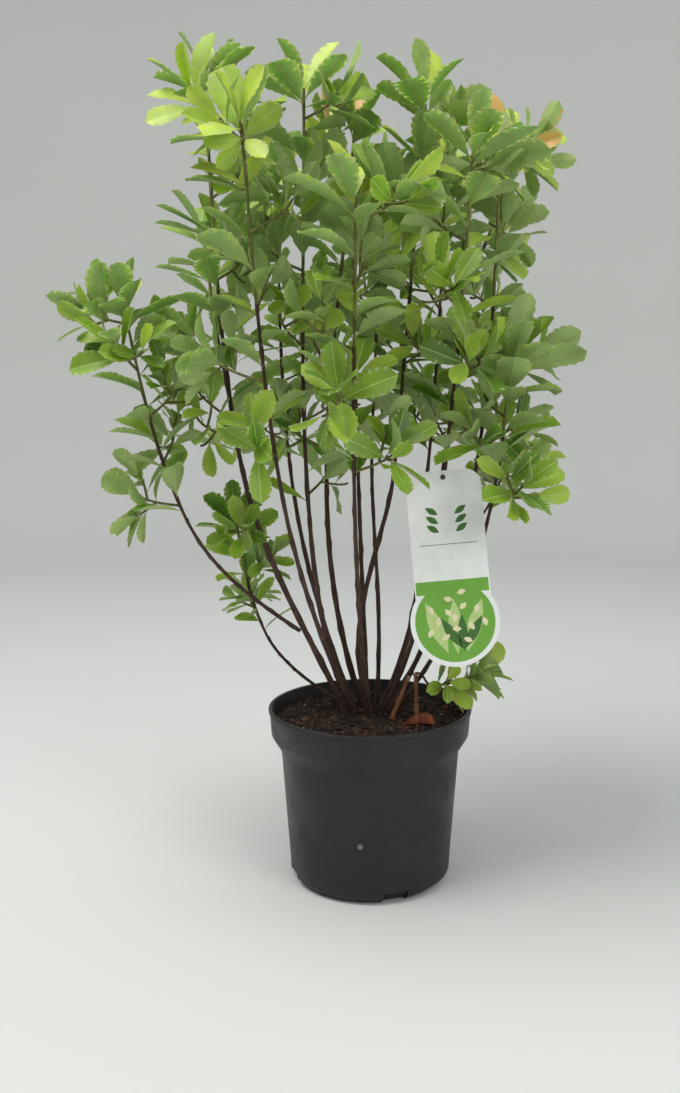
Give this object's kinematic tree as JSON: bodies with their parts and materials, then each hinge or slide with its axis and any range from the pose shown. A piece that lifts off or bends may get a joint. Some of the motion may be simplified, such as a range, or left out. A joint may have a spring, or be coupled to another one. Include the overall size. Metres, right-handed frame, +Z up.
{
  "type": "potted summersweet shrub",
  "caption": "Young flowering shrub with many thin upright stems and green leaves, in a round black nursery pot with a blank hang label.",
  "frame": {"origin": "middle of the pot's flat underside, on the surface that it stands on", "axes": "+Z up along the plant, -Y towards the front that the picture shows, +X to the right of that view"},
  "size_m": [0.4962, 0.4165, 0.818],
  "materials": {
    "pot_plastic": "satin moulded black polypropylene",
    "compost": "loose dark bark compost",
    "stem_bark": "smooth dark brown young bark",
    "foliage": "fresh green leaves, paler below",
    "dead_wood": "dry weathered stub",
    "dead_leaf": "curled brown dead leaf",
    "label_plastic": "smooth printed white plastic sheet"
  },
  "bodies": {
    "root": {"pot": "pot_plastic", "soil": "compost", "stem_left_tall": "stem_bark", "stem_left_back": "stem_bark", "stem_left_long": "stem_bark", "stem_left_low": "stem_bark", "stem_left_middle": "stem_bark", "stem_middle": "stem_bark", "stem_front_left": "stem_bark", "stem_back_left": "stem_bark", "stem_back": "stem_bark", "stem_right_upright": "stem_bark", "stem_middle_back": "stem_bark", "stem_right_middle": "stem_bark", "stem_right_front": "stem_bark", "stem_right_tall": "stem_bark", "stem_back_right": "stem_bark", "stem_front": "stem_bark", "stem_right_outer": "stem_bark", "stem_right_low": "stem_bark", "stem_right_foot": "stem_bark", "leaves_left_tall": "foliage", "leaves_left_back": "foliage", "leaves_left_long": "foliage", "leaves_left_low": "foliage", "leaves_left_middle": "foliage", "leaves_middle": "foliage", "leaves_front_left": "foliage", "leaves_back_left": "foliage", "leaves_back": "foliage", "leaves_right_upright": "foliage", "leaves_middle_back": "foliage", "leaves_right_middle": "foliage", "leaves_right_front": "foliage", "leaves_right_tall": "foliage", "leaves_back_right": "foliage", "leaves_front": "foliage", "leaves_right_outer": "foliage", "leaves_right_low": "foliage", "leaves_right_foot": "foliage", "label_twig": "stem_bark", "stub_leaning": "dead_wood", "stub_upright": "dead_wood", "dead_leaf": "dead_leaf", "hang_label": "label_plastic"}
  },
  "joints": []
}
